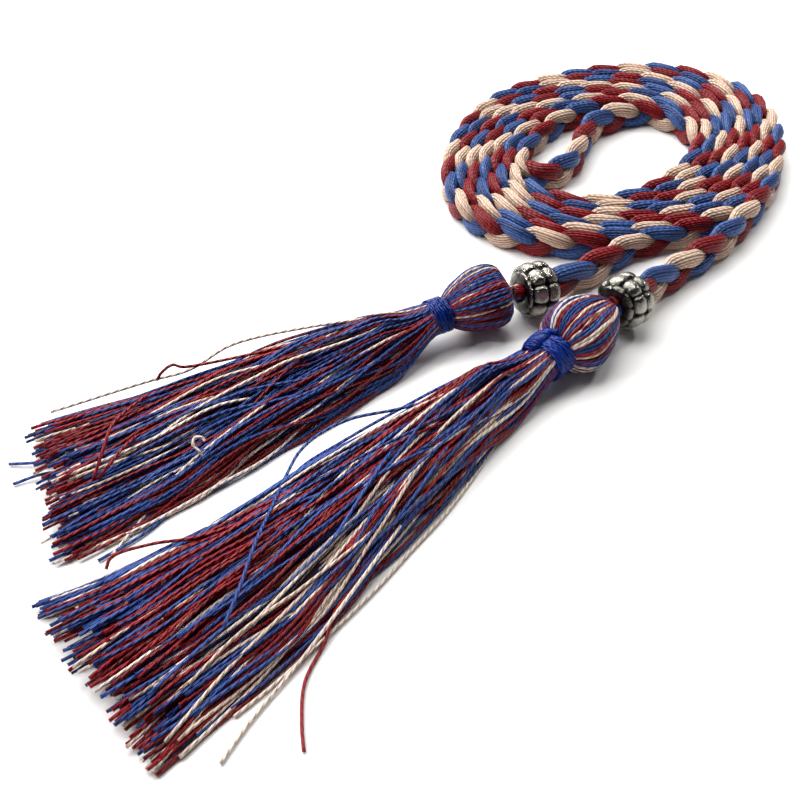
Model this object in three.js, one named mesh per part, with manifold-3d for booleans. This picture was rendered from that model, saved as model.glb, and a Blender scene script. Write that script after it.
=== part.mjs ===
// A braided belt with two tassels, lying folded in half and coiled on edge. Millimetres, +Z up.
import * as THREE from "three";
import Module from "manifold-3d";

const wasm = await Module();
wasm.setup();

const { sin, cos, PI, round, min, max, abs } = Math;
const TURN = 2 * PI;

// The plan was laid out from a point in front of the coil. This one is the middle of the whole belt.
const PLAN_CENTRE = new THREE.Vector3(15.0, 27.1, 0);

// The coil is a leaning oval that two lanes wind out of side by side.
const COIL = {
  x: 52.6,
  y: 90.0,
  inner: 20.6,
  pitch: 3.09,
  oval: 3.82,
  growth: 0.28,
  square: 0.178,
  lean: 43.4 * (PI / 180),
  stepsPerTurn: 24,
};

// Three strands are plaited into a flat band that stands on edge.
const BRAID = {
  height: 6.7,
  side: 2.5,
  depth: 0.8,
  crossing: { thick: 0.5, wide: 0.78 },
  edge: { thick: 1.08, wide: 0.85 },
  gathered: { spread: 0.95, half: 0.62 },
  strands: ["blue_strand", "red_strand", "cream_strand"],
};
const MIDDLE = BRAID.height / 2;
// Away from the coil nothing presses on the plait, and it swells by this much over this distance.
const LOOSE = { tall: 1.12, thick: 1.25, over: 12 };

// How many leaves of the plait show on the top edge, up to the fold and in all.
const LEAVES = { toFold: 95.5, all: 196.5 };

const BEAD = { radius: 6.1, half: 3.9, end: 3.8, hole: 2.2, bumps: 8, relief: 0.45, segments: 24 };
const GAP = 0.36;

// The hand-laid stretches of the route, from the far tassel to the near one.
const FAR_END = [
  [22.9, 25.4, 7.3],
  [28.4, 28.1, 6.2],
  [33.4, 31.2, 5.6],
  [37.8, 35.4, 4.4],
  [44.0, 40.9, MIDDLE],
];
const FOLD = [
  [50.9, 104.4, MIDDLE],
  [46.0, 94.5, MIDDLE],
  [43.0, 86.0, MIDDLE],
  [38.8, 80.4, MIDDLE],
  [33.8, 78.0, MIDDLE],
  [30.7, 80.2, MIDDLE],
  [29.9, 84.4, MIDDLE],
  [30.7, 88.8, MIDDLE],
  [33.0, 93.8, MIDDLE],
];
const NEAR_END = [
  [80.4, 60.4, MIDDLE],
  [76.0, 54.0, MIDDLE],
  [70.2, 47.4, MIDDLE],
  [63.4, 41.2, MIDDLE],
  [57.0, 35.0, 4.1],
  [52.2, 29.4, 5.4],
  [46.8, 23.7, 6.4],
  [43.4, 20.2, 7.3],
];
const LANES = { inward: { from: 3.5, to: 0.08 }, outward: { from: -0.11, to: 3.32 } };
const FOLD_TIP = 6;
const BEAD_CENTRE = { far: 1, near: NEAR_END.length - 2 };
// How far from each end of the route the plait stops and the strands run on side by side.
const PLAIT_STOPS = { far: 14.0, near: 14.3 };
const RUN_ON = [0, 0.25, 0.5, 0.72];

// Each tassel is a bound bulb with a fringe that spreads over the floor.
const TASSELS = {
  far: {
    neck: new THREE.Vector3(21.9, 25.3, 7.7),
    tie: new THREE.Vector3(7.8, 18.8, 6.4),
    aim: 212.5 * (PI / 180),
    bulb: 7.0,
    waist: 2.8,
    tieRadius: 3.8,
    tieHalf: 2.3,
    length: 84,
    lean: 0,
    slant: 0.055,
    widths: [2.8, 8.0, 12.2, 15.0, 18.6],
    heights: [6.2, 11.5, 10.5, 8.0, 5.0],
  },
  near: {
    neck: new THREE.Vector3(42.8, 19.7, 7.6),
    tie: new THREE.Vector3(30.5, 6.4, 6.0),
    aim: 225.8 * (PI / 180),
    bulb: 7.3,
    waist: 3.1,
    tieRadius: 4.3,
    tieHalf: 2.7,
    knot: { turn: 172 * (PI / 180), out: 5.3, radius: 1.8 },
    length: 105,
    lean: -1.5,
    slant: -0.01,
    widths: [3.1, 7.8, 12.0, 16.0, 22.5],
    heights: [6.4, 11.5, 10.5, 8.0, 5.0],
  },
};
const STATIONS = [0, 0.14, 0.38, 0.7, 1];
// Where each lock lies across the fringe, whether it lies on the floor or on the others, and its reach.
const LOCKS = [
  { across: -0.92, lift: 0, reach: 0.97 },
  { across: -0.54, lift: 0, reach: 0.98 },
  { across: -0.18, lift: 0, reach: 1.02 },
  { across: 0.18, lift: 0, reach: 0.99 },
  { across: 0.54, lift: 0, reach: 1.03 },
  { across: 0.92, lift: 0, reach: 0.97 },
  { across: -0.46, lift: 1, reach: 0.93 },
  { across: 0.0, lift: 1, reach: 0.97 },
  { across: 0.46, lift: 1, reach: 0.92 },
];
const LOCK = { sides: 5, from: 2, wide: 0.23, low: 0.22, high: 0.62, thick: 0.3, blunt: 0.7 };
const BUNDLE = { sides: 14, upTo: 3, ridge: 0.07, narrower: 0.8 };
const TIE = { wraps: 3, groove: 0.35, segments: 12, knotSegments: 8 };
// The head from the tie to the neck: its radius between waist and bulb, and how far along it is.
const HEAD = {
  segments: 12,
  below: 4,
  shoulder: { out: 0.72, along: 0.14 },
  widest: 0.44,
  crown: [
    [0.93, 0.72],
    [0.6, 0.94],
    [0.3, 1],
  ],
};

const mix = (a, b, t) => a + (b - a) * t;
const smooth = (t) => t * t * (3 - 2 * t);
const UP = new THREE.Vector3(0, 0, 1);

function coilPoint(turns, lane) {
  const angle = TURN * turns;
  const windings = 2 * turns + lane;
  const oval = COIL.oval + COIL.growth * windings;
  const turned = angle - COIL.lean;
  const bulge = oval * cos(2 * turned) + COIL.square * windings * cos(4 * turned);
  const radius = COIL.inner + COIL.pitch * windings + bulge;
  return [COIL.x + radius * sin(angle), COIL.y + radius * cos(angle), MIDDLE];
}

function coilPoints({ from, to }, lane) {
  const count = round(abs(to - from) * COIL.stepsPerTurn);
  return Array.from({ length: count + 1 }, (_, i) => coilPoint(mix(from, to, i / count), lane));
}

// The middle line of the belt from one tassel to the other, measured along its length.
function makeRoute() {
  const inward = coilPoints(LANES.inward, 0);
  const outward = coilPoints(LANES.outward, 1);
  const places = [...FAR_END, ...inward, ...FOLD, ...outward, ...NEAR_END];
  const points = places.map((p) => new THREE.Vector3(...p).sub(PLAN_CENTRE));
  const curve = new THREE.CatmullRomCurve3(points, false, "centripetal");
  const fine = 20;
  const samples = curve.getPoints((points.length - 1) * fine);
  const along = [0];
  for (let i = 1; i < samples.length; i++) {
    along.push(along[i - 1] + samples[i].distanceTo(samples[i - 1]));
  }
  const length = along[along.length - 1];
  const distanceTo = (index) => along[index * fine];
  const at = (distance) => {
    const after = along.findIndex((d) => d >= distance);
    const i = min(max(after, 1), samples.length - 1);
    const share = (distance - along[i - 1]) / (along[i] - along[i - 1]);
    const point = samples[i - 1].clone().lerp(samples[i], share);
    const ahead = samples[min(i + 1, samples.length - 1)].clone().sub(samples[max(i - 2, 0)]);
    return { point, ahead: ahead.normalize() };
  };
  const foldStart = FAR_END.length + inward.length;
  const nearStart = places.length - NEAR_END.length;
  const coiled = [
    [distanceTo(FAR_END.length), distanceTo(foldStart - 1)],
    [distanceTo(foldStart + FOLD_TIP), distanceTo(nearStart - 1)],
  ];
  return {
    at,
    length,
    coiled,
    fold: distanceTo(foldStart + FOLD_TIP),
    farBead: distanceTo(BEAD_CENTRE.far),
    nearBead: distanceTo(nearStart + BEAD_CENTRE.near),
  };
}

const route = makeRoute();

function solidOf(corners, faces) {
  return new wasm.Manifold(
    new wasm.Mesh({
      numProp: 3,
      vertProperties: new Float32Array(corners.flatMap((p) => [p.x, p.y, p.z])),
      triVerts: new Uint32Array(faces.flat()),
    }),
  );
}

// A closed tube through rings of points, each ring clockwise as seen by someone who walks along it.
function loft(rings) {
  const sides = rings[0].length;
  const end = (rings.length - 1) * sides;
  const faces = [];
  for (let a = 0; a < end; a++) {
    const b = a % sides === sides - 1 ? a + 1 - sides : a + 1;
    faces.push([a, b, b + sides], [a, b + sides, a + sides]);
  }
  for (let j = 1; j < sides - 1; j++) {
    faces.push([0, j + 1, j], [end, end + j, end + j + 1]);
  }
  return solidOf(rings.flat(), faces);
}

function meshOf(name, solid) {
  const { vertProperties, triVerts } = solid.getMesh();
  const geometry = new THREE.BufferGeometry();
  geometry.setAttribute("position", new THREE.BufferAttribute(vertProperties, 3));
  geometry.setIndex(new THREE.BufferAttribute(triVerts, 1));
  const mesh = new THREE.Mesh(geometry);
  mesh.name = name;
  return mesh;
}

// Half-leaf steps of the plait as distances along the route.
function plaitStations() {
  const from = PLAIT_STOPS.far;
  const to = route.length - PLAIT_STOPS.near;
  const steps = LEAVES.all * 2;
  return Array.from({ length: steps + 1 }, (_, i) => {
    const leaf = i / 2;
    const beyond = (leaf - LEAVES.toFold) / (LEAVES.all - LEAVES.toFold);
    const distance =
      leaf < LEAVES.toFold
        ? mix(from, route.fold, leaf / LEAVES.toFold)
        : mix(route.fold, to, beyond);
    return { distance, leaf, gathered: 0 };
  });
}

// The plait's stations with the straight run through the bead before and after them.
function strandStations() {
  const plait = plaitStations();
  const first = RUN_ON.map((share) => ({
    distance: share * PLAIT_STOPS.far,
    leaf: 0,
    gathered: 1,
  }));
  const last = RUN_ON.map((share) => ({
    distance: route.length - share * PLAIT_STOPS.near,
    leaf: LEAVES.all,
    gathered: 1,
  }));
  return [...first, ...plait, ...last.reverse()];
}

// How much taller and thicker the plait is here than where the coil presses on it.
function swelling(distance) {
  const outside = route.coiled.map(([from, to]) => max(from - distance, distance - to));
  const loose = smooth(min(max(min(...outside) / LOOSE.over, 0), 1));
  return { tall: mix(1, LOOSE.tall, loose), thick: mix(1, LOOSE.thick, loose) };
}

// The middle and half the thickness and width of a strand, from where it is in its figure of eight.
function strandSection(distance, leaf, colour) {
  const { tall, thick } = swelling(distance);
  const turn = (TURN / 3) * (leaf - 0.5 - colour) + PI / 2;
  const edge = smooth(2 * abs(sin(turn)) - 1);
  return {
    side: BRAID.side * sin(turn) * tall,
    depth: -BRAID.depth * sin(2 * turn) * thick,
    thick: mix(BRAID.crossing.thick, BRAID.edge.thick, edge) * thick,
    wide: mix(BRAID.crossing.wide, BRAID.edge.wide, edge) * tall,
    floor: MIDDLE * tall,
  };
}

// The same inside a bead, where the strands run on side by side.
function gatheredSection(leaf, colour) {
  const turn = (TURN / 3) * (leaf - 0.5 - colour) + PI / 2;
  const { spread, half } = BRAID.gathered;
  return {
    side: spread * sin(turn),
    depth: -spread * sin(2 * turn),
    thick: half,
    wide: half,
    floor: MIDDLE,
  };
}

// One ring of a strand.
function strandRing({ distance, leaf, gathered }, colour) {
  const { point, ahead } = route.at(distance);
  const right = ahead.clone().cross(UP).normalize();
  const up = right.clone().cross(ahead);
  const section = gathered ? gatheredSection(leaf, colour) : strandSection(distance, leaf, colour);
  const { side, depth, thick, wide, floor } = section;
  point.z = max(point.z, floor);
  const middle = point.addScaledVector(up, side).addScaledVector(right, depth);
  return [
    middle.clone().addScaledVector(up, wide),
    middle.clone().addScaledVector(right, thick),
    middle.clone().addScaledVector(up, -wide),
    middle.clone().addScaledVector(right, -thick),
  ];
}

function strands() {
  const stations = strandStations();
  return BRAID.strands.map((name, colour) =>
    meshOf(name, loft(stations.map((station) => strandRing(station, colour)))),
  );
}

// Stands a solid that was turned about Z along another direction, at a point.
function placeAlong(solid, point, ahead) {
  const turned = new THREE.Quaternion().setFromUnitVectors(UP, ahead);
  const matrix = new THREE.Matrix4().compose(point, turned, new THREE.Vector3(1, 1, 1));
  return solid.transform(matrix.elements);
}

// A closed ring from a profile of [radius, height, relief] that goes once round its section.
function turnedRing(profile, segments, reliefAt) {
  const corners = [];
  for (let i = 0; i < segments; i++) {
    const angle = (TURN * i) / segments;
    for (const [radius, height, relief] of profile) {
      const r = radius + reliefAt(angle, height) * relief;
      corners.push(new THREE.Vector3(r * cos(angle), r * sin(angle), height));
    }
  }
  const n = profile.length;
  const faces = [];
  for (let i = 0; i < segments; i++) {
    const next = ((i + 1) % segments) * n;
    for (let j = 0; j < n; j++) {
      const k = (j + 1) % n;
      faces.push([i * n + j, next + j, next + k], [i * n + j, next + k, i * n + k]);
    }
  }
  return solidOf(corners, faces);
}

// A cast bead with two staggered rows of round bumps.
function bead(name, distance) {
  const { radius, half, end, hole, bumps, relief, segments } = BEAD;
  const profile = [
    [hole, -half, 0],
    [end, -half, 0],
    [radius - relief, -half * 0.5, 1],
    [radius - relief * 2, 0, 0],
    [radius - relief, half * 0.5, 1],
    [end, half, 0],
    [hole, half, 0],
  ];
  const reliefAt = (angle, height) => (height < 0 ? 1 : -1) * cos(bumps * angle) * relief;
  const { point, ahead } = route.at(distance);
  return meshOf(name, placeAlong(turnedRing(profile, segments, reliefAt), point, ahead));
}

// The knot of a tie, as a lump on its side.
function knotOf({ tie: place, neck, knot: { turn, out, radius } }) {
  const ahead = neck.clone().sub(place).normalize();
  const beside = ahead.clone().cross(UP).normalize();
  const over = beside.clone().cross(ahead);
  const middle = place
    .clone()
    .sub(PLAN_CENTRE)
    .addScaledVector(beside, out * cos(turn))
    .addScaledVector(over, out * sin(turn));
  return wasm.Manifold.sphere(radius, TIE.knotSegments).translate(middle.toArray());
}

// The thread that binds a tassel, as one wound ring, with its knot where that shows.
function tie(name, sizes) {
  const { tie: place, neck, waist, tieRadius, tieHalf } = sizes;
  const inner = waist + GAP;
  const groove = tieRadius - TIE.groove;
  const profile = [[inner, tieHalf, 0], [inner, -tieHalf, 0]];
  for (let i = 0; i < TIE.wraps; i++) {
    profile.push([groove, mix(-tieHalf, tieHalf, i / TIE.wraps), 0]);
    profile.push([tieRadius, mix(-tieHalf, tieHalf, (i + 0.5) / TIE.wraps), 0]);
  }
  profile.push([groove, tieHalf, 0]);
  const ahead = neck.clone().sub(place).normalize();
  const ring = turnedRing(profile, TIE.segments, () => 0);
  const wound = placeAlong(ring, place.clone().sub(PLAN_CENTRE), ahead);
  return meshOf(name, sizes.knot ? wound.add(knotOf(sizes)) : wound);
}

// The bulb over the knot and the waist under the tie, turned about the line between neck and tie.
function tasselHead({ neck, tie: place, bulb, waist, tieHalf }) {
  const axis = neck.clone().sub(place);
  const long = axis.length();
  const profile = [
    [0, -tieHalf - HEAD.below],
    [waist, -tieHalf - HEAD.below],
    [waist, tieHalf + GAP],
    [mix(waist, bulb, HEAD.shoulder.out), mix(tieHalf, long, HEAD.shoulder.along)],
    [bulb, mix(tieHalf, long, HEAD.widest)],
    ...HEAD.crown.map(([size, along]) => [bulb * size, mix(tieHalf, long, along)]),
    [0, long],
  ];
  const solid = wasm.Manifold.revolve([profile], HEAD.segments);
  return placeAlong(solid, place.clone().sub(PLAN_CENTRE), axis.normalize());
}

// A place in the fringe: how far out, how far across from the middle, and how high.
function fringePlace({ tie: place, aim, tieHalf, length, lean }, share, across, height) {
  const out = mix(tieHalf + 1.3, length, share);
  const beside = across + lean * share;
  return place
    .clone()
    .sub(PLAN_CENTRE)
    .setZ(height)
    .addScaledVector(new THREE.Vector3(cos(aim), sin(aim), 0), out)
    .addScaledVector(new THREE.Vector3(-sin(aim), cos(aim), 0), beside);
}

// A ring across the fringe, clockwise as seen from the tie.
function fringeRing(tassel, share, across, height, wide, thick, sides, ridge) {
  return Array.from({ length: sides }, (_, j) => {
    const angle = (TURN * (j + 0.25)) / sides;
    const size = 1 + (j % 2 ? -ridge : ridge);
    const beside = across - wide * size * cos(angle);
    return fringePlace(tassel, share, beside, height - thick * size * sin(angle));
  });
}

// The ridged bundle that the locks grow out of.
function bundle(tassel) {
  const { sides, upTo, ridge, narrower } = BUNDLE;
  const rings = STATIONS.slice(0, upTo + 1).map((share, i) => {
    const wide = tassel.widths[i] * (i ? narrower : 1);
    const thick = i ? tassel.heights[i] / 2 : tassel.widths[0];
    const height = i ? thick - 0.4 : tassel.tie.z;
    return fringeRing(tassel, share, 0, height, wide, thick, sides, ridge);
  });
  return loft(rings);
}

// One lock of the fringe, from inside the bundle to its tip on the floor.
function lock(tassel, { across, lift, reach }) {
  const last = STATIONS.length - 1;
  const rings = STATIONS.slice(LOCK.from).map((share, k) => {
    const i = k + LOCK.from;
    const taper = i === last ? LOCK.blunt : 1;
    const wide = tassel.widths[i] * LOCK.wide * taper;
    const thick = tassel.heights[i] * LOCK.thick * taper;
    const height = tassel.heights[i] * mix(LOCK.low, LOCK.high, lift);
    const beside = across * tassel.widths[i] * (i === LOCK.from ? BUNDLE.narrower : 0.92);
    const out = share * reach * (1 + tassel.slant * across);
    return fringeRing(tassel, out, beside, height, wide, thick, LOCK.sides, 0);
  });
  return loft(rings);
}

function tassel(name, sizes) {
  const locks = LOCKS.map((each) => lock(sizes, each));
  const whole = wasm.Manifold.union([tasselHead(sizes), bundle(sizes), ...locks]);
  return meshOf(name, whole.trimByPlane([0, 0, 1], 0).simplify(0.1));
}

const group = new THREE.Group();
group.add(...strands());
group.add(bead("bead_far", route.farBead), bead("bead_near", route.nearBead));
for (const [side, sizes] of Object.entries(TASSELS)) {
  group.add(tassel("tassel_" + side, sizes), tie("tie_" + side, sizes));
}

export default group;
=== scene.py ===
"""A braided tassel belt: three bundles of twisted thread, two cast beads and two bound tassels."""
from math import cos, pi, radians, sin

import bpy
import numpy as np
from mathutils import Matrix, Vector


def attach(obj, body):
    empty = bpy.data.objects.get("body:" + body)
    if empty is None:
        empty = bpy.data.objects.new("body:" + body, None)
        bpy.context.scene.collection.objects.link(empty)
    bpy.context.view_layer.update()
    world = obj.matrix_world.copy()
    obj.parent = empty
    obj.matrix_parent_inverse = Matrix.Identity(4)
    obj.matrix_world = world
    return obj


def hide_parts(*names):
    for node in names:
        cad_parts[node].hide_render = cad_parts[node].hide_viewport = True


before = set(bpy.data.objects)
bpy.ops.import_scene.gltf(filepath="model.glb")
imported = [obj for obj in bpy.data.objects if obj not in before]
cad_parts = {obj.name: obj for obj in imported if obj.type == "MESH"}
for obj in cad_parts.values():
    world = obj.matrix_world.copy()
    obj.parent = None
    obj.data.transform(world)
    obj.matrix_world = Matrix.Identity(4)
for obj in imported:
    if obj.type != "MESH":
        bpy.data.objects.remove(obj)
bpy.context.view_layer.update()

# Shapes are worked out in millimetres, and meshes hold metres.
MM = 0.001
TURN = 2 * pi
UP = np.array([0.0, 0.0, 1.0])
SEED = 7

# The plan's own point for the middle of the belt, and the photograph's viewpoint.
PLAN_CENTRE = np.array([15.0, 27.1, 0.0])
CAMERA = {"place": (0.0, -177.8, 155.5), "down": 41.2, "lens": 54.0, "sensor": 36.0}

# The belt's route, as in the CAD part: an oval coil of two lanes, and ends listed point by point.
COIL = {
    "x": 52.6, "y": 90.0, "inner": 20.6, "pitch": 3.09, "oval": 3.82, "growth": 0.28,
    "square": 0.178, "lean": radians(43.4), "steps_per_turn": 24,
}
MIDDLE = 3.35
FAR_END = [
    (22.9, 25.4, 7.3), (28.4, 28.1, 6.2), (33.4, 31.2, 5.6), (37.8, 35.4, 4.4), (44.0, 40.9, MIDDLE),
]
FOLD = [
    (50.9, 104.4, MIDDLE), (46.0, 94.5, MIDDLE), (43.0, 86.0, MIDDLE), (38.8, 80.4, MIDDLE),
    (33.8, 78.0, MIDDLE), (30.7, 80.2, MIDDLE), (29.9, 84.4, MIDDLE), (30.7, 88.8, MIDDLE),
    (33.0, 93.8, MIDDLE),
]
NEAR_END = [
    (80.4, 60.4, MIDDLE), (76.0, 54.0, MIDDLE), (70.2, 47.4, MIDDLE), (63.4, 41.2, MIDDLE),
    (57.0, 35.0, 4.1), (52.2, 29.4, 5.4), (46.8, 23.7, 6.4), (43.4, 20.2, 7.3),
]
# The turns that the ways in and out run from and to, and the point of the fold that is its tip.
INWARD = (3.5, 0.08)
OUTWARD = (-0.11, 3.32)
FOLD_TIP = 6
# How many leaves of the plait have passed at these distances from each end. Next to the beads they
# are longer.
LEAVES_TO_FOLD = 95.5
LEAF_STOPS = {
    "far": [(2.2, -1.2), (9.8, 0.3), (16.7, 0.6), (27.4, 1.5), (53.9, 4.5), (100.0, 10.6)],
    "near": [(53.9, 191.5), (17.7, 195.5), (12.5, 196.0), (9.2, 196.2), (2.0, 196.6)],
}
# Away from the coil nothing presses on the plait, and it swells by this much over this distance.
LOOSE = {"tall": 1.12, "thick": 1.25, "over": 12.0}
# The strands draw together between these distances from each end.
GATHERED = {"far": (10.0, 12.6), "near": (8.8, 11.6)}
# How random swings differ in wavelength and size. Below, each swing is a size and wavelengths.
SWINGS = {"stretch": (0.8, 1.25), "strength": (0.4, 1)}
# A path nearer to upright than this has no level direction across it.
UPRIGHT = 0.1

# The plait: how far its strands swing, and half the thickness and width of a strand at these
# shares of its swing, from the middle of the plait to the edge, and inside the beads.
BRAID = {"side": 1.85, "depth": 0.76, "spread": 0.9, "step": 1.5}
STRANDS = ["blue", "red", "cream"]
SECTIONS = {
    "swing": [0, 0.4, 0.78, 1],
    "thin": [1.2, 1.1, 1.12, 1.5],
    "wide": [1.3, 1.6, 2.05, 1.65],
    "gathered": (1.3, 1.3),
}
# A strand is in shade below this share of its swing, where it dives under the others.
DIVING = 0.62
# A strand's skin: its threads, the corners across each, how deep the grooves between them are, their
# widths, how they swing round it and stand out of it, and its lowest point.
SKIN = {
    "threads": 16, "points": 4, "groove": 0.26, "widths": (0.8, 1.2),
    "sway": (0.09, (14, 27, 60)), "proud": (0.014, (8, 15, 33)), "lowest": 0.02,
}

# A bead: its size, its hole and the rim round that, its bumps, and where its end rows start.
BEAD = {
    "radius": 6.0, "half": 4.0, "hole": 2.05, "rim": 0.5, "bumps": 8, "relief": 0.85,
    "split": 0.84, "sides": 192, "rings": 61,
}
# How full a bead's section is along it and across it, and how late its relief fades at the ends.
BEAD_SECTION = {"along": 2.8, "across": 2.4, "fade": 8}
# How square a bump is, how much of its cell it takes, how flat it is, how high the end rows are
# next to the middle ones, and how worn the metal is beside the bumps.
BUMP = {"square": 3.4, "reach": 0.97, "flat": 2.6, "end_rows": 0.6, "bare": 0.25}

# Each tassel: its head between neck and tie, and its fringe from the tie to the tips. The outline
# goes from the tie to the neck, in shares of the head's length and of its bulb's radius. Leads are
# the colours that lead round the head. Widths and leans are half the fringe's width and its middle's
# shift, at these shares of its length, and reach is how long it is from side to side.
SHARES = [0, 0.14, 0.38, 0.7, 0.88, 1]
TASSELS = {
    "far": {
        "neck": (21.7, 25.2, 7.7), "tie": (7.8, 18.8, 6.4), "aim": radians(212.5),
        "bulb": 6.5, "waist": 2.9, "tie_radius": 3.8, "tie_half": 2.3,
        "outline": [
            (0, 0.5), (0.1, 0.64), (0.26, 0.8), (0.48, 0.94), (0.7, 1), (0.86, 0.94), (0.96, 0.7),
            (1, 0.42), (0.98, 0.2),
        ],
        "length": 89, "threads": 380, "thread": 0.31,
        "shares": {"red": 0.44, "blue": 0.43, "cream": 0.13},
        "leads": "red red blue red blue red red blue blue red cream blue".split(),
        "widths": [2.7, 7.4, 12.3, 14.9, 17.2, 17.8],
        "leans": [0, -0.8, -1.3, 0.1, -0.8, -0.5],
        "heights": [6.0, 11.3, 10.0, 7.5, 5.5, 4.5],
        "reach": [(-1, 0.93), (-0.2, 0.96), (0.5, 1.0), (1, 1.03)],
    },
    "near": {
        "neck": (42.8, 19.7, 7.4), "tie": (29.9, 6.1, 5.8), "aim": radians(225.8),
        "bulb": 7.2, "waist": 3.2, "tie_radius": 4.3, "tie_half": 2.5,
        "outline": [
            (0, 0.6), (0.08, 0.84), (0.2, 0.98), (0.36, 1), (0.54, 0.92), (0.72, 0.76), (0.88, 0.54),
            (0.98, 0.34), (0.98, 0.18),
        ],
        "knot": {"turn": radians(133), "out": 4.3, "along": -1.1, "radius": 1.7, "half": 3.4},
        "length": 108, "threads": 430, "thread": 0.315,
        "shares": {"red": 0.4, "blue": 0.41, "cream": 0.19},
        "leads": "blue cream red blue blue red red blue blue red cream blue".split(),
        "widths": [3.0, 6.9, 11.2, 15.0, 17.4, 20.4],
        "leans": [0, -2.2, -2.0, -1.6, -2.9, -4.6],
        "heights": [6.2, 11.3, 10.5, 8.0, 6.0, 5.0],
        "reach": [(-1, 0.98), (-0.5, 1.0), (0.4, 1.02), (1, 1.02)],
    },
}
# A head's lumps: how high, how many round it and from which angle; and how many points its threads
# have for each of its outline. They bow out, swing round it and lean from a share of its length on,
# and the deepest lie at a share of its radius.
HEAD = {
    "lump": 0.03, "lumps": [(3, 1.2), (5, 4)], "per": 2, "bow": (0.016, (9, 17)),
    "sway": (0.02, (9, 16, 30)), "lean": 0.07, "lean_from": 0.3, "deepest": 0.62,
}
# Round a tassel: how much likelier the leading colour is, how likely each colour is at least, over
# how many threads the shares settle, and how many threads of one colour lie side by side.
RUNS = {"lead": 3, "least": 0.05, "settle": 12, "run": (1, 6)}
# A tassel's threads: one in so many is an outer one, and the others lie between these depths.
TASSEL_THREAD = {
    "sides": 5, "step": 3.2, "jitter": 1.2, "outer": 5, "depths": (0.15, 0.93),
    "sizes": (0.82, 1.15),
}
# Where a fringe's threads end, in shares of its half width and height: in locks of so many that
# are shifted and bunched, while a share of them cross to anywhere.
LOCK = {
    "threads": 7, "shift": 0.4, "own": 0.3, "bunched": 0.85, "spread": 0.12, "farthest": 1.9,
    "height": 0.9, "height_spread": 0.2, "crossing": 0.2, "crossing_to": (-0.95, 0.95),
    "crossing_over": (-0.2, 1),
}
# How a fringe's threads run to their ends: how soon, with which slow swings and fine ripples, how
# much shorter locks and threads can be, and how far from the tie the pile spreads.
FRINGE = {
    "ease": (0.95, 1.5), "steady": 5, "across": (0.03, (61, 97, 150)),
    "up": (0.08, (43, 71, 120)), "edge": 1.05, "short_lock": 0.07, "short_thread": 0.1,
    "edge_height": 0.02, "spreads_by": 16, "ripples_by": 20, "ripple_across": (0.13, (23, 41)),
    "ripple_up": (0.12, (23, 41)),
}
# The dark bodies of painted shade inside head and fringe, next to the threads round them.
CORE = {
    "head": 0.78, "inset": 0.2, "thinnest": 1.0, "waist": 0.8, "wide": 0.74, "tall": 0.62,
    "lift": 0.4, "reach": (0.02, 0.72), "rings": 14, "sides": 20,
}
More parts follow.
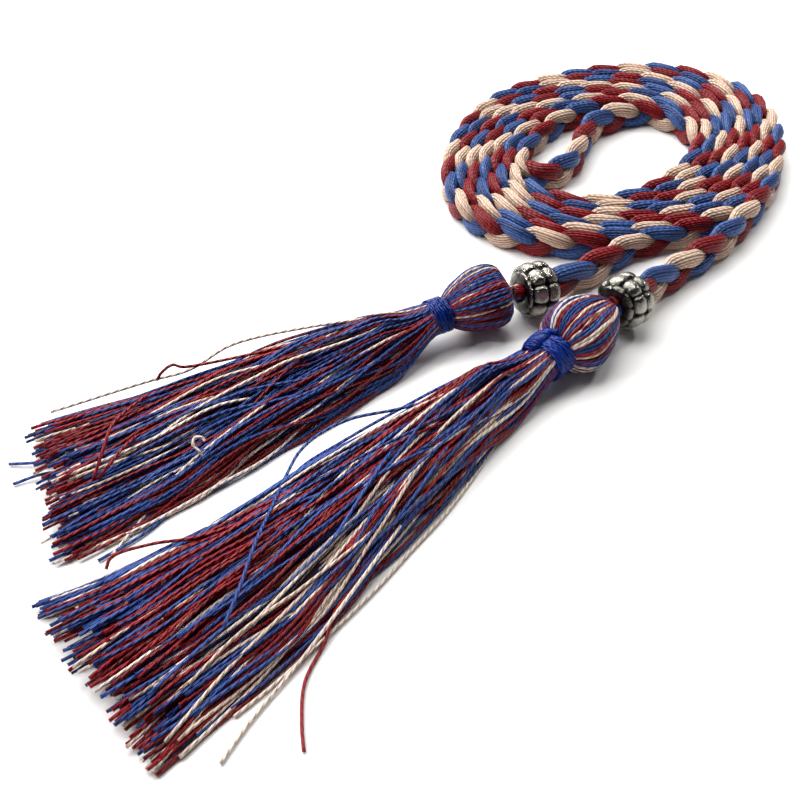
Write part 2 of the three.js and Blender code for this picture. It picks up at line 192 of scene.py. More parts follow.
# Single threads that part from each tassel, from the photograph: how far each point is from the tie
# along the fringe and across it, and how high.
STRAYS = {
    ("far", "red"): [
        [(30, -7, 7), (44, -10, 7), (51.6, -11, 8), (54.7, -9.3, 11), (56.6, -9.5, 10),
         (57.6, -10.2, 8)],
        [(60.8, -8.2, 7), (65.8, -5.2, 8), (70, -1.7, 9), (73.6, 2.5, 8), (77.2, 5.6, 5)],
        [(66.9, 1.2, 7), (70.9, 4.2, 8), (74.2, 6.7, 8), (76.9, 5.2, 4)],
    ],
    ("far", "blue"): [
        [(70, -1.1, 2), (73.1, -3.1, 2), (82.2, -7.9, 1), (87.7, -11.4, 0.5)],
        [(70, 2.6, 2), (74.6, 0.6, 2), (83.2, -4.9, 1), (88.8, -5.9, 0.5)],
        [(30.2, 7.3, 3), (38.3, 6, 1.5), (46.1, 4.2, 0.6), (56.4, 10.4, 0.5), (72.5, 17.8, 0.5),
         (82.7, 19.7, 0.5)],
    ],
    ("far", "cream"): [
        [(14, -4, 9), (25, -9, 8), (35.7, -13, 7), (41.4, -13.3, 7), (50.3, -12, 6), (57.5, -15.4, 4),
         (76.2, -20.5, 1)],
        [(57.6, 11.2, 3.4), (58.3, 10.2, 5.4), (58.8, 9.3, 6.4), (59, 8.5, 7), (58, 7.7, 7.4),
         (57, 8.3, 7.2), (56.8, 8.9, 6.8)],
        [(40, 5, 7), (60.1, 10.4, 5), (67.1, 12.6, 3), (70.9, 14.3, 1.5), (76, 17.1, 0.6),
         (80.2, 19.7, 0.5)],
    ],
    ("near", "red"): [
        [(50, 8, 3), (71.5, 13.2, 2), (76.1, 15.6, 0.6), (83.4, 18.9, 0.5), (88.6, 23.9, 0.5),
         (91.8, 27.9, 0.5)],
        [(52, -6, 5), (66, -9, 5), (78, -13, 5), (84.3, -18.8, 3.5), (89.9, -22.3, 2),
         (91.7, -21.6, 1)],
    ],
    ("near", "blue"): [
        [(6, -1.5, 8), (16.6, -4.1, 6), (25.4, -6.5, 7), (33.2, -10, 7), (40.6, -15.2, 6),
         (46.7, -17.1, 5), (52.2, -16.3, 5), (57.4, -13.8, 5), (67.6, -6.6, 8), (75.9, -0.5, 11),
         (82.7, 3.8, 10), (88.9, 7.3, 9)],
    ],
    ("near", "cream"): [
        [(52, 9, 4), (74, 14.7, 3), (81.6, 15.8, 1), (94, 18.3, 0.5), (101.7, 20.6, 0.5)],
        [(0, 2.6, 5), (6, 2.6, 3), (14.5, 3.7, 0.5), (20.1, 4.5, 0.5), (31.2, 7.7, 0.5),
         (42.2, 10.4, 0.5), (52.4, 12, 0.5), (63.4, 13.8, 0.5), (79.9, 15.4, 0.5), (88.4, 15.9, 0.5),
         (95.1, 15.9, 0.5)],
    ],
    ("near", "tie"): [
        [(1.1, -2.9, 7.6), (3.5, -4.9, 6.6), (7.5, -6.3, 5.6), (12.3, -8.6, 4.8), (20.2, -11, 3.8),
         (29.2, -12.8, 3), (36.9, -14, 2.6), (43.6, -14.5, 2.6), (52.8, -13.9, 4), (59, -12.3, 5)],
        [(1.8, -2.3, 7.6), (4.4, -4.7, 6.2), (9.2, -6.2, 5.4), (15.6, -8.4, 4.6), (22.1, -10.3, 3.6),
         (28.5, -11.6, 3), (35.3, -12.1, 3), (42.4, -11.6, 4), (49.1, -11.2, 5)],
    ],
}
STRAY = {"per": 8, "tone": 0.7}
# The tie's thread winds in close layers, so far inside its radius, and then in bundles that slant
# across them: where each bundle is in the tie, how wide, and its slant.
TIE_THREAD = {
    "radius": 0.23, "sides": 6, "per_turn": 32, "pitch": 1.75, "layers": [0.85, 0.5],
    "bundles": 0.15, "along": (0.05, (5.1, 9.3)), "out": (0.05, (3.3, 7.7)), "tones": (0.2, 0.9),
}
BUNDLES = [(-0.62, 0.3, (0.28, 0.5)), (-0.05, 0.26, (0.35, 3.4)), (0.5, 0.28, (0.3, 1.9))]
# A knot is a barrel of this thread: how much it tapers and how late, how uneven and how slanted
# its turns are, and how far it is pressed flat and wide.
KNOT = {
    "per_turn": 24, "pitch": 1.8, "taper": (0.9, 2.4), "uneven": (0.05, (4.1, 7.3)),
    "slant": (0.45, 0.8), "pressed": (0.8, 1.15),
}
# The cut ends of a tie start at a share of its half length, rise and fan out over the head.
TAIL = {
    "threads": 9, "points": 7, "start": 0.7, "length": 4.2, "lengths": (0.8, 1.0), "rise": 1.4,
    "loose": 0.4, "angle": radians(108), "fan": (0.34, 0.5), "wave": (0.05, 6),
}

# Each colour's darkest and lightest thread in the plait and in the tassels, and how dark the painted
# shade is at the seams between the threads of the plait.
THREADS = {
    "blue": {
        "plait": ((11, 29, 84), (72, 108, 174)), "tassel": ((6, 19, 78), (54, 87, 162)), "seam_shade": 0.22,
    },
    "red": {
        "plait": ((78, 2, 9), (164, 18, 30)), "tassel": ((70, 2, 8), (158, 18, 29)), "seam_shade": 0.18,
    },
    "cream": {
        "plait": ((184, 147, 124), (218, 193, 174)), "tassel": ((196, 168, 148), (240, 226, 216)),
        "seam_shade": 0.36,
    },
}
TIE_TONES = ((0, 10, 50), (6, 58, 172))
# How thread is twisted: its plies, the length of a twist, how dark the painted shade in the grooves
# between plies is and how deep those grooves are in metres, and its finish.
TWISTS = {
    "tassel": {"plies": 2, "lay": 1.8, "groove": 0.62, "relief": 0.0002, "finish": "soft"},
    "plait": {"plies": 1, "lay": 1.2, "groove": 0.86, "relief": 0.0001, "finish": "soft"},
    "tie": {"plies": 2, "lay": 1.8, "groove": 0.4, "relief": 0.0002, "finish": "silky"},
}
FINISHES = {
    "soft": {"rough": (0.272, 0.42), "specular": 0.24},
    "silky": {"rough": (0.142, 0.27), "specular": 0.34},
}
# Fibres are noise, drawn out along a thread and new in each one, that streaks its brightness.
FIBRES = {
    "anew": 9.0, "across": 6.0, "along": 0.5, "scale": 1.6, "span": (0.3, 0.7),
    "streaks": (0.62, 1.34),
}
# How far patches, rather than a thread's own tone, set its colour, and its painted light and shade: a
# little lighter on the crests of its plies and between its seams, and painted shade where it dives under
# others.
PATCHES = 0.35
SHADE = {"ply": 1.08, "open": 1.06, "diving": 0.3}
METAL = {"recess": (4, 4, 4), "polished": (104, 101, 94), "pitted": (232, 229, 219)}
# The core's colours: painted shade, dark threads that stand for the deep shade in a tassel's gaps.
CORE_SHADE_TONES = ((38, 14, 26), (20, 24, 58))
FLOOR = {"half": 3000, "grey": 0.82}
# The surround is pale at the horizon and darker overhead, so that metal has something to mirror.
SKY = {"From Min": 0.0, "From Max": 0.24, "To Min": 0.8, "To Max": 0.06}
# Where each light is, its size and its power: a large soft one, and small ones that metal mirrors.
LIGHTS = {
    "key": ((-0.22, 0.34, 0.56), 1.05, 15.5),
    "left_glint": ((-0.34, -0.12, 0.3), 0.05, 0.55),
    "right_glint": ((0.3, 0.2, 0.36), 0.06, 0.6),
}
LIGHT_COLOUR = (1, 0.99, 0.97)


def mix(a, b, t):
    return a + (b - a) * t


def smooth(t):
    t = np.clip(t, 0, 1)
    return t * t * (3 - 2 * t)


def unit(v):
    return v / np.linalg.norm(v, axis=-1, keepdims=True)


def on_plan(point):
    return np.array(point, float) - PLAN_CENTRE


def coil_points(turns_from, turns_to, lane):
    """The points of one lane of the coil."""
    count = round(abs(turns_to - turns_from) * COIL["steps_per_turn"])
    turns = np.linspace(turns_from, turns_to, count + 1)
    angle = TURN * turns
    windings = 2 * turns + lane
    oval = COIL["oval"] + COIL["growth"] * windings
    turned = angle - COIL["lean"]
    bulge = oval * np.cos(2 * turned) + COIL["square"] * windings * np.cos(4 * turned)
    radius = COIL["inner"] + COIL["pitch"] * windings + bulge
    x = COIL["x"] + radius * np.sin(angle)
    y = COIL["y"] + radius * np.cos(angle)
    return np.stack([x, y, np.full_like(x, MIDDLE)], 1)


def smooth_curve(points, per):
    """A centripetal Catmull-Rom curve through the points, per samples for each span."""
    p = np.array(points, float)
    p = np.vstack([2 * p[0] - p[1], p, 2 * p[-1] - p[-2]])
    steps = np.sqrt(np.linalg.norm(np.diff(p, axis=0), axis=1))
    share = np.arange(per)[:, None] / per
    spans = []
    for i in range(1, len(p) - 2):
        a, b, c, d = p[i - 1 : i + 3]
        t0, t1, t2 = steps[i - 1 : i + 2]
        s = t0 + t1 * share
        ab = mix(a, b, s / t0)
        bc = mix(b, c, (s - t0) / t1)
        cd = mix(c, d, (s - t0 - t1) / t2)
        abc = mix(ab, bc, s / (t0 + t1))
        bcd = mix(bc, cd, (s - t0) / (t1 + t2))
        spans.append(mix(abc, bcd, (s - t0) / t1))
    return np.vstack([*spans, p[-2:-1]])


def length_along(points):
    """The distance from the first point to each point, along the line."""
    return np.concatenate([[0], np.cumsum(np.linalg.norm(np.diff(points, axis=0), axis=1))])


def at_distances(points, along, distances):
    return np.stack([np.interp(distances, along, points[:, k]) for k in range(3)], 1)


def swelling(coiled, distances):
    """How much taller and thicker the plait is here than where the coil presses on it."""
    outside = np.min([np.maximum(start - distances, distances - end) for start, end in coiled], axis=0)
    loose = smooth(outside / LOOSE["over"])
    return mix(1, LOOSE["tall"], loose), mix(1, LOOSE["thick"], loose)


def make_route():
    """The belt's middle line, its distances, and the distances of the fold and both beads."""
    inward = coil_points(*INWARD, 0)
    outward = coil_points(*OUTWARD, 1)
    places = np.vstack([FAR_END, inward, FOLD, outward, NEAR_END]) - PLAN_CENTRE
    fine = 20
    line = smooth_curve(places, fine)
    along = length_along(line)
    fold_start = len(FAR_END) + len(inward)
    fold = along[(fold_start + FOLD_TIP) * fine]
    near_start = along[(len(places) - len(NEAR_END) - 1) * fine]
    coiled = [(along[len(FAR_END) * fine], along[(fold_start - 1) * fine]), (fold, near_start)]
    tall, _ = swelling(coiled, along)
    line[:, 2] = np.maximum(line[:, 2], MIDDLE * tall)
    return {
        "line": line, "along": along, "length": along[-1], "coiled": coiled, "fold": fold,
        "beads": {"far": along[fine], "near": along[(len(places) - 2) * fine]},
    }


def directions(points):
    return unit(np.gradient(points, axis=-2))


def carried_sides(ahead):
    """A direction across each path that turns with it and doesn't twist round it."""
    start = np.cross(ahead[:, 0], UP)
    upright = np.linalg.norm(start, axis=1) < UPRIGHT
    start[upright] = np.cross(ahead[upright, 0], [1.0, 0, 0])
    sides = [unit(start)]
    for i in range(1, ahead.shape[1]):
        side = sides[-1]
        side = side - ahead[:, i] * np.sum(side * ahead[:, i], axis=1, keepdims=True)
        sides.append(unit(side))
    return np.stack(sides, 1)


def spokes(side, over, angle):
    """Directions at these angles round an axis, from the side towards over."""
    return side * np.cos(angle)[..., None] + over * np.sin(angle)[..., None]


def bands(rings, count):
    """The faces between rings of count corners, and those that close the first and last ring."""
    j = np.arange(count)
    k = (j + 1) % count
    start = np.arange(rings - 1)[:, None] * count
    quads = np.stack([start + j, start + k, start + count + k, start + count + j], -1)
    return quads, np.stack([j[::-1], (rings - 1) * count + j])


def band_uvs(u, width, v):
    """The texture places of such faces: u at each one's start, and v at each ring."""
    u, v0, v1 = np.broadcast_arrays(u, v[..., :-1, None], v[..., 1:, None])
    end = u + width
    return np.stack([np.stack([u, end, end, u], -1), np.stack([v0, v0, v1, v1], -1)], -1)


def tubes(paths, radii, count, tones):
    """Closed tubes of count sides round paths (thread, point, xyz): the parts that make a mesh."""
    threads, points = paths.shape[:2]
    ahead = directions(paths)
    side = carried_sides(ahead)
    over = np.cross(ahead, side)
    ring = spokes(side[:, :, None], over[:, :, None], TURN * np.arange(count) / count)
    corners = paths[:, :, None] + ring * radii[:, :, None, None]
    quads, caps = bands(points, count)
    first = np.arange(threads)[:, None, None] * points * count
    quads = quads + first[:, None]
    caps = caps + first
    uvs = band_uvs(np.arange(count) / count, 1 / count, np.stack([length_along(p) for p in paths]))
    return {
        "corners": corners.reshape(-1, 3),
        "faces": [(quads, uvs), (caps, None)],
        "tone": np.repeat(tones, points * count),
    }


def tube(path, radius, count, tone):
    """One such tube along a path, of the same radius all along."""
    return tubes(path[None], np.full((1, len(path)), radius), count, np.array([tone]))


def loft(rings, uvs=None):
    """A closed body through rings of corners, (ring, corner, xyz)."""
    quads, caps = bands(*rings.shape[:2])
    return {"corners": rings.reshape(-1, 3), "faces": [(quads, uvs), (caps, None)]}


def add_object(name, data):
    """A new object in the scene."""
    made = bpy.data.objects.new(name, data)
    bpy.context.scene.collection.objects.link(made)
    return made


def add_mesh(name, groups, material):
    """One mesh object from groups of corners, faces, tones and shades."""
    corners = np.vstack([g["corners"] for g in groups]) * MM
    loops, sizes, uvs = [], [], []
    offset = 0
    for g in groups:
        for faces, uv in g["faces"]:
            each = faces.shape[-1]
            loops.append((faces + offset).ravel())
            sizes.append(np.full(faces.size // each, each))
            uvs.append(np.zeros((faces.size, 2)) if uv is None else uv.reshape(-1, 2))
        offset += len(g["corners"])
    loops, sizes, uvs = np.concatenate(loops), np.concatenate(sizes), np.vstack(uvs)
    mesh = bpy.data.meshes.new(name)
    mesh.vertices.add(len(corners))
    mesh.vertices.foreach_set("co", corners.astype(np.float32).ravel())
    mesh.loops.add(len(loops))
    mesh.loops.foreach_set("vertex_index", loops.astype(np.int32))
    mesh.polygons.add(len(sizes))
    mesh.polygons.foreach_set("loop_start", (np.cumsum(sizes) - sizes).astype(np.int32))
    mesh.update(calc_edges=True)
    mesh.polygons.foreach_set("use_smooth", sizes == 4)
    layer = mesh.uv_layers.new(name="UVMap")
    layer.data.foreach_set("uv", uvs.astype(np.float32).ravel())
    for key in ("tone", "shade"):
        if key in groups[0]:
            values = np.concatenate([g[key] for g in groups]).astype(np.float32)
            mesh.attributes.new(key, "FLOAT", "POINT").data.foreach_set("value", values)
    mesh.materials.append(material)
    mesh.update()
    return add_object(name, mesh)


def settle(piece, node):
    """Says which body carries a piece and hides the node that it stands for."""
    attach(piece, "root")
    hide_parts(node)


def linear(*srgb):
    """A colour read off in 0 to 255 as the linear value that shaders take."""
    c = np.array(srgb) / 255
    low, high = c / 12.92, ((c + 0.055) / 1.055) ** 2.4
    return (*np.where(c <= 0.04045, low, high), 1.0)


class Nodes:
    """A short way to add and link the nodes of a material or world."""

    def __init__(self, owner, shader):
        owner.use_nodes = True
        self.owner = owner
        self.tree = owner.node_tree
        self.shader = self.tree.nodes[shader]

    def set(self, target, socket, value):
        into = target.inputs[socket]
        if isinstance(value, bpy.types.NodeSocket):
            self.tree.links.new(value, into)
        else:
            into.default_value = value

    def add(self, kind, inputs=(), **settings):
        node = self.tree.nodes.new("ShaderNode" + kind)
        for key, value in settings.items():
            setattr(node, key, value)
        for socket, value in dict(inputs).items():
            self.set(node, socket, value)
        return node

    def math(self, operation, a, b=0.0):
        return self.add("Math", {0: a, 1: b}, operation=operation).outputs[0]

    def times(self, a, b):
        return self.math("MULTIPLY", a, b)

    def attribute(self, name):
        return self.add("Attribute", attribute_name=name).outputs["Fac"]

    def noise(self, scale, detail, **inputs):
        inputs.update(Scale=scale, Detail=detail)
        return self.add("TexNoise", inputs).outputs["Fac"]

    def blend(self, share, a, b, mode="MIX"):
        node = self.add("Mix", {0: share, 6: a, 7: b}, data_type="RGBA", blend_type=mode)
        return node.outputs[2]

    def range(self, value, low, high, to_low=0.0, to_high=1.0):
        inputs = {"Value": value, "From Min": low, "From Max": high, "To Min": to_low, "To Max": to_high}
        return self.add("MapRange", inputs).outputs[0]

    def finish(self, **sockets):
        for name, value in sockets.items():
            self.set(self.shader, name.replace("_", " "), value)
        return self.owner


def material_nodes(name):
    return Nodes(bpy.data.materials.new(name), "Principled BSDF")


def thread_material(name, tones, twist, seam_shade=None):
    """Twisted thread, with fibres along its plies and a tone of its own, with painted shade in the
    grooves between its plies and, in the plait, at its seams and where it dives under others.
    """
    n = material_nodes(name)
    uv = n.add("SeparateXYZ", {0: n.add("UVMap", uv_map="UVMap").outputs[0]})
    round_it, along = uv.outputs[0], uv.outputs[1]
    tone = n.attribute("tone")
    anew = n.times(tone, FIBRES["anew"])
    plies = n.times(round_it, twist["plies"])
    wound = n.math("ADD", plies, n.math("DIVIDE", along, twist["lay"]))
    wave = n.math("ABSOLUTE", n.math("SINE", n.times(n.math("ADD", wound, anew), pi)))
    across = n.times(n.math("ADD", plies, anew), FIBRES["across"])
    place = n.add("CombineXYZ", {0: across, 1: n.times(along, FIBRES["along"])})
    fibre = n.noise(scale=FIBRES["scale"], detail=3.0, Vector=place.outputs[0])
    patches = n.noise(scale=90.0, detail=1.0)
    own = n.times(tone, 1 - PATCHES)
    colour_share = n.math("ADD", own, n.times(patches, PATCHES))
    colour = n.blend(colour_share, *[linear(*srgb) for srgb in tones])
    streaks = n.range(fibre, *FIBRES["span"], *FIBRES["streaks"])
    # Painted shade in the grooves between plies and a little painted light on their crests, times the
    # fibres' streaks.
    shade = n.times(n.range(wave, 0.0, 0.8, twist["groove"], SHADE["ply"]), streaks)
    if seam_shade is not None:
        # In the plait, painted shade at the seams between threads and where a strand dives under the
        # others.
        between = n.math("SINE", n.times(round_it, pi))
        diving = n.attribute("shade")
        shade = n.times(shade, n.range(between, 0.0, 0.75, seam_shade, SHADE["open"]))
        shade = n.times(shade, n.range(diving, 0.0, 1.0, 1.0, SHADE["diving"]))
    shade_colour = n.add("CombineXYZ", {0: shade, 1: shade, 2: shade}).outputs[0]
    colour = n.blend(1.0, colour, shade_colour, "MULTIPLY")
    relief = n.math("ADD", wave, n.times(fibre, 0.5))
    bump = n.add("Bump", {"Strength": 1.0, "Distance": twist["relief"], "Height": relief})
    finish = FINISHES[twist["finish"]]
    rough = n.range(fibre, *FIBRES["span"], *finish["rough"])
    n.set(n.shader, "Specular IOR Level", finish["specular"])
    return n.finish(Base_Color=colour, Roughness=rough, Normal=bump.outputs[0])


def shade_core_material():
    """Painted shade for the gaps of a tassel: dark threads that stand for threads in deep shade."""
    n = material_nodes("tassel_shade_core")
    streaks = n.noise(scale=700.0, detail=3.0)
    colour = n.blend(n.range(streaks, 0.4, 0.6), *[linear(*srgb) for srgb in CORE_SHADE_TONES])
    bump = n.add("Bump", {"Strength": 0.6, "Distance": 0.0003, "Height": streaks})
    return n.finish(Base_Color=colour, Roughness=0.9, Normal=bump.outputs[0])


def bead_material():
    """Antique silver: polished where it is worn, dark in the recesses, and pitted in patches."""
    n = material_nodes("antique_silver")
    height = n.attribute("tone")
    pits = n.noise(scale=1300.0, detail=2.0)
    dents = n.noise(scale=420.0, detail=1.0)
    patches = n.noise(scale=170.0, detail=1.0)
    pitted = n.range(patches, 0.5, 0.6)
    worn = n.math("ADD", height, n.range(dents, 0.35, 0.65, -0.25, 0.15))
    hollows = n.times(n.range(pits, 0.46, 0.54, 1.0, 0.0), pitted)
    worn = n.math("SUBTRACT", worn, n.times(hollows, 0.7))
    bare = n.blend(pitted, linear(*METAL["polished"]), linear(*METAL["pitted"]))
    colour = n.blend(n.range(worn, 0.1, 0.55), linear(*METAL["recess"]), bare)
    depth = n.times(n.times(pits, pitted), 0.3)
    bump = n.add("Bump", {"Strength": 0.2, "Distance": 0.0005, "Height": n.math("ADD", depth, dents)})
    return n.finish(Base_Color=colour, Metallic=1.0, Roughness=0.1, Normal=bump.outputs[0])


def make_materials():
    """The materials by name: each colour's loose and plaited thread, the tie, core and bead."""
    made = {"core": shade_core_material(), "bead": bead_material()}
    for name, look in THREADS.items():
        made[name] = thread_material(name + "_fringe_thread", look["tassel"], TWISTS["tassel"])
        plaited = thread_material(name + "_strand_thread", look["plait"], TWISTS["plait"], look["seam_shade"])
        made[name + "_skin"] = plaited
    made["tie"] = thread_material("tie_thread", TIE_TONES, TWISTS["tie"])
    return made


def leaves_at(route, distances):
    """How many leaves of the plait have passed at these distances from the far end."""
    far, near = np.array(LEAF_STOPS["far"]), np.array(LEAF_STOPS["near"])
    places = np.concatenate([far[:, 0], [route["fold"]], route["length"] - near[:, 0]])
    return np.interp(distances, places, np.concatenate([far[:, 1], [LEAVES_TO_FOLD], near[:, 1]]))


def gathering(to_end, side):
    """How far the strands have drawn together at these distances from an end."""
    start, end = GATHERED[side]
    return 1 - smooth((to_end - start) / (end - start))


def strand_line(route, distances, colour):
    """A strand's middle line, its bundling and its shade at these distances along the route."""
    point = at_distances(route["line"], route["along"], distances)
    ahead = directions(point)
    right = unit(np.cross(ahead, UP))
    up = np.cross(right, ahead)
    left = route["length"] - distances
    leaf = leaves_at(route, distances)
    gathered = np.maximum(gathering(distances, "far"), gathering(left, "near"))
    turn = TURN / 3 * (leaf - 0.5 - colour) + pi / 2
    tall, thick = swelling(route["coiled"], distances)
    side = mix(BRAID["side"] * tall, BRAID["spread"], gathered) * np.sin(turn)
    depth = -mix(BRAID["depth"] * thick, BRAID["spread"], gathered) * np.sin(2 * turn)
    line = point + up * side[:, None] + right * depth[:, None]
    swing = np.abs(np.sin(turn))
    shade = 1 - smooth(np.maximum(swing, gathered) / DIVING)
    return line, right, strand_sections(swing, gathered, tall, thick), shade


def wander(rng, threads, along, size, waves):
    """Slow random swings along threads, as (thread, point)."""
    total = np.zeros((threads, len(along)))
    for wave in waves:
        phase = rng.uniform(0, TURN, (threads, 1))
        stretch = rng.uniform(*SWINGS["stretch"], (threads, 1))
        swing = np.sin(TURN * along / (wave * stretch) + phase)
        total += rng.uniform(*SWINGS["strength"], (threads, 1)) * swing
    return total * size


def strand_sections(swing, gathered, tall, thick):
    """Half the thickness and width of a strand along its way through the plait."""
    thin = np.interp(swing, SECTIONS["swing"], SECTIONS["thin"]) * thick
    wide = np.interp(swing, SECTIONS["swing"], SECTIONS["wide"]) * tall
    return mix(np.stack([thin, wide], 1), np.array(SECTIONS["gathered"]), gathered[:, None])


def skin_angles(rng, stations):
    """Where the corners of a strand's skin lie round it: its threads differ a little in width."""
    threads, points = SKIN["threads"], SKIN["points"]
    edges = np.concatenate([[0], np.cumsum(rng.uniform(*SKIN["widths"], threads))])
    edges *= TURN / edges[-1]
    share = np.arange(points) / points
    angle = (edges[:-1, None] + np.diff(edges)[:, None] * share).ravel()
    return angle[None] + wander(rng, 1, stations, *SKIN["sway"])[0][:, None]


def skin_corners(rng, distances, sections):
    """A strand's section at each station, across its thin and its wide way, thread by thread."""
    threads, points = SKIN["threads"], SKIN["points"]
    a, b = sections.T[:, :, None]
    angle = skin_angles(rng, distances)
    evened = angle - (b - a) / (2 * (a + b)) * np.sin(2 * angle)
    crest = np.sin(pi * np.arange(threads * points) / points % pi)
    swings = wander(rng, threads, distances, *SKIN["proud"]).T.repeat(points, axis=1)
    proud = 1 + swings * crest
    depth = SKIN["groove"] * (1 - np.sqrt(crest))
    out = unit(np.stack([np.cos(evened) / a, np.sin(evened) / b], -1))
    x = a * np.cos(evened) * proud - depth * out[:, :, 0]
    y = b * np.sin(evened) * proud - depth * out[:, :, 1]
    return x, y


def strand(route, colour, name, material, rng):
    """One strand of the plait: a bundle of fine threads that flattens where it crosses others."""
    count = int(route["length"] / BRAID["step"])
    distances = np.linspace(0, route["length"], count)
    line, right, sections, shade = strand_line(route, distances, colour)
    ahead = directions(line)
    thin = unit(right - ahead * np.sum(right * ahead, axis=1, keepdims=True))
    wide = np.cross(thin, ahead)
    x, y = skin_corners(rng, distances, sections)
    corners = line[:, None] + thin[:, None] * x[:, :, None] + wide[:, None] * y[:, :, None]
    corners[:, :, 2] = np.maximum(corners[:, :, 2], SKIN["lowest"])
    tone = rng.uniform(0, 1, SKIN["threads"]).repeat(SKIN["points"])
    along = length_along(line)
    piece = add_mesh(name + "_strand_threads", [skin(corners, along, tone, shade)], material)
    settle(piece, name + "_strand")


def skin(corners, along, tone, shade):
    """A strand's closed skin, with a thread's own u across each thread."""
    stations, count = corners.shape[:2]
    points = SKIN["points"]
    uvs = band_uvs(np.arange(count) % points / points, 1 / points, along)
    return {**loft(corners, uvs), "tone": np.tile(tone, stations), "shade": np.repeat(shade, count)}


def bead_ring(profile, origin, side, over, ahead):
    """A bead's closed ring from a profile of (radius, height, weight) points, with relief on it."""
    count = BEAD["sides"]
    angle = TURN * np.arange(count) / count
    radius, height, weight = np.array(profile, float).T
    lift, tone = bead_relief(angle[:, None], height[None])
    r = radius + lift * weight
    corners = origin + spokes(side, over, angle[:, None]) * r[:, :, None] + ahead * height[None, :, None]
    n = len(profile)
    i = np.arange(count)[:, None] * n
    j = np.arange(n)
    k = (j + 1) % n
    following = (i + n) % (count * n)
    quads = np.stack([i + j, following + j, following + k, i + k], -1)
    return {
        "corners": corners.reshape(-1, 3),
        "faces": [(quads, None)],
        "tone": (tone * weight + BUMP["bare"] * (1 - weight)).ravel(),
    }


def bead_relief(angle, height):
    """Round bumps with grooves between them: two rows in the middle, a lower row at each end."""
    share = np.abs(height) / BEAD["half"]
    split = BEAD["split"]
    at_end = share > split
    middle = np.where(at_end, (split + 1) / 2, split / 2)
    reach = np.where(at_end, (1 - split) / 2, split / 2)
    turned = np.where(at_end, 0.5, 0.0)
    x = 2 * np.abs((angle * BEAD["bumps"] / TURN + turned) % 1 - 0.5)
    y = np.abs(share - middle) / reach
    edge = (x ** BUMP["square"] + y ** BUMP["square"]) ** (1 / BUMP["square"])
    dome = np.sqrt(np.clip(1 - (edge / BUMP["reach"]) ** BUMP["flat"], 0, 1))
    return dome * BEAD["relief"] * np.where(at_end, BUMP["end_rows"], 1.0), dome


def bead(route, side, material):
    """A cast bead on the belt, square to its route."""
    distance = route["beads"][side]
    places = np.array([distance - 1, distance, distance + 1])
    before, origin, after = at_distances(route["line"], route["along"], places)
    ahead = unit(after - before)
    across = unit(np.cross(ahead, UP))
    half, hole = BEAD["half"], BEAD["hole"]
    profile = [(hole, -half, 0.0)]
    for v in np.linspace(-1, 1, BEAD["rings"]):
        swell = (1 - abs(v) ** BEAD_SECTION["along"]) ** (1 / BEAD_SECTION["across"])
        radius = mix(hole + BEAD["rim"], BEAD["radius"] - BEAD["relief"], swell)
        profile.append((radius, half * v, 1.0 - abs(v) ** BEAD_SECTION["fade"]))
    profile.append((hole, half, 0.0))
    ring = bead_ring(profile, origin, across, np.cross(across, ahead), ahead)
    piece = add_mesh("cast_bead_" + side, [ring], material)
    settle(piece, "bead_" + side)


def head_axes(t):
    """The tie's place, and the directions to the neck, to the side and up."""
    place = on_plan(t["tie"])
    ahead = unit(on_plan(t["neck"]) - place)
    beside = unit(np.cross(ahead, UP))
    return place, ahead, beside, np.cross(beside, ahead)


def head_reach(t, share):
    """How far along the head these shares of it are, from the tie's edge to the neck."""
    long = np.linalg.norm(on_plan(t["neck"]) - on_plan(t["tie"]))
    return t["tie_half"] + share * (long - t["tie_half"])


def round_head(t, along, out, angle):
    """Points so far along the head's axis and out from it, at these angles round it."""
    place, ahead, beside, over = head_axes(t)
    middle = place + ahead * np.expand_dims(along, -1)
    return middle + spokes(beside, over, angle) * np.expand_dims(out, -1)


def fringe_axes(t):
    """The floor under the tie, and the directions along the fringe and across it."""
    aim = t["aim"]
    flat = on_plan(t["tie"]) * [1, 1, 0]
    return flat, np.array([cos(aim), sin(aim), 0]), np.array([-sin(aim), cos(aim), 0])


def fringe_sizes(t, share):
    """Half the fringe's width, its middle's shift and its height at these shares of its length."""
    return [np.interp(share, SHARES, t[key]) for key in ("widths", "leans", "heights")]


def thread_colours(rng, t):
    """A colour for each thread round the head, where each part of it has a colour that leads."""
    names = list(t["shares"])
    shares = np.array(list(t["shares"].values()))
    used = np.zeros(len(names))
    colours = []
    while len(colours) < t["threads"]:
        lead = t["leads"][len(colours) * len(t["leads"]) // t["threads"]]
        wanted = shares * (len(colours) + RUNS["settle"]) - used
        wanted = np.clip(wanted, RUNS["least"], None)
        wanted[names.index(lead)] *= RUNS["lead"]
        k = rng.choice(len(names), p=wanted / wanted.sum())
        run = rng.integers(*RUNS["run"])
        colours.extend([names[k]] * run)
        used[k] += run
    return np.array(colours[: t["threads"]])


def head_points(t, angle, depth, rng):
    """Threads that rise out of the neck, pass over the bulb and dive under the tie."""
    profile = smooth_curve([(u, r, 0) for u, r in t["outline"][::-1]], HEAD["per"])
    reach = head_reach(t, profile[:, 0])
    lumps = np.ones(len(angle))
    for around, start in HEAD["lumps"]:
        lumps += HEAD["lump"] * np.sin(around * angle + start)
    bow = 1 + wander(rng, len(angle), reach, *HEAD["bow"])
    radius = profile[:, 1] * t["bulb"] * (depth * lumps)[:, None] * bow
    lean = rng.normal(0, HEAD["lean"], (len(angle), 1)) * (profile[:, 0] - HEAD["lean_from"])
    turned = angle[:, None] + lean + wander(rng, len(angle), reach, *HEAD["sway"])
    return round_head(t, reach, radius, turned)


def folded(p):
    """Values past one end of the range from -1 to 1 come back into it by as much."""
    return np.where(np.abs(p) > 1, np.sign(p) * (2 - np.abs(p)), p)


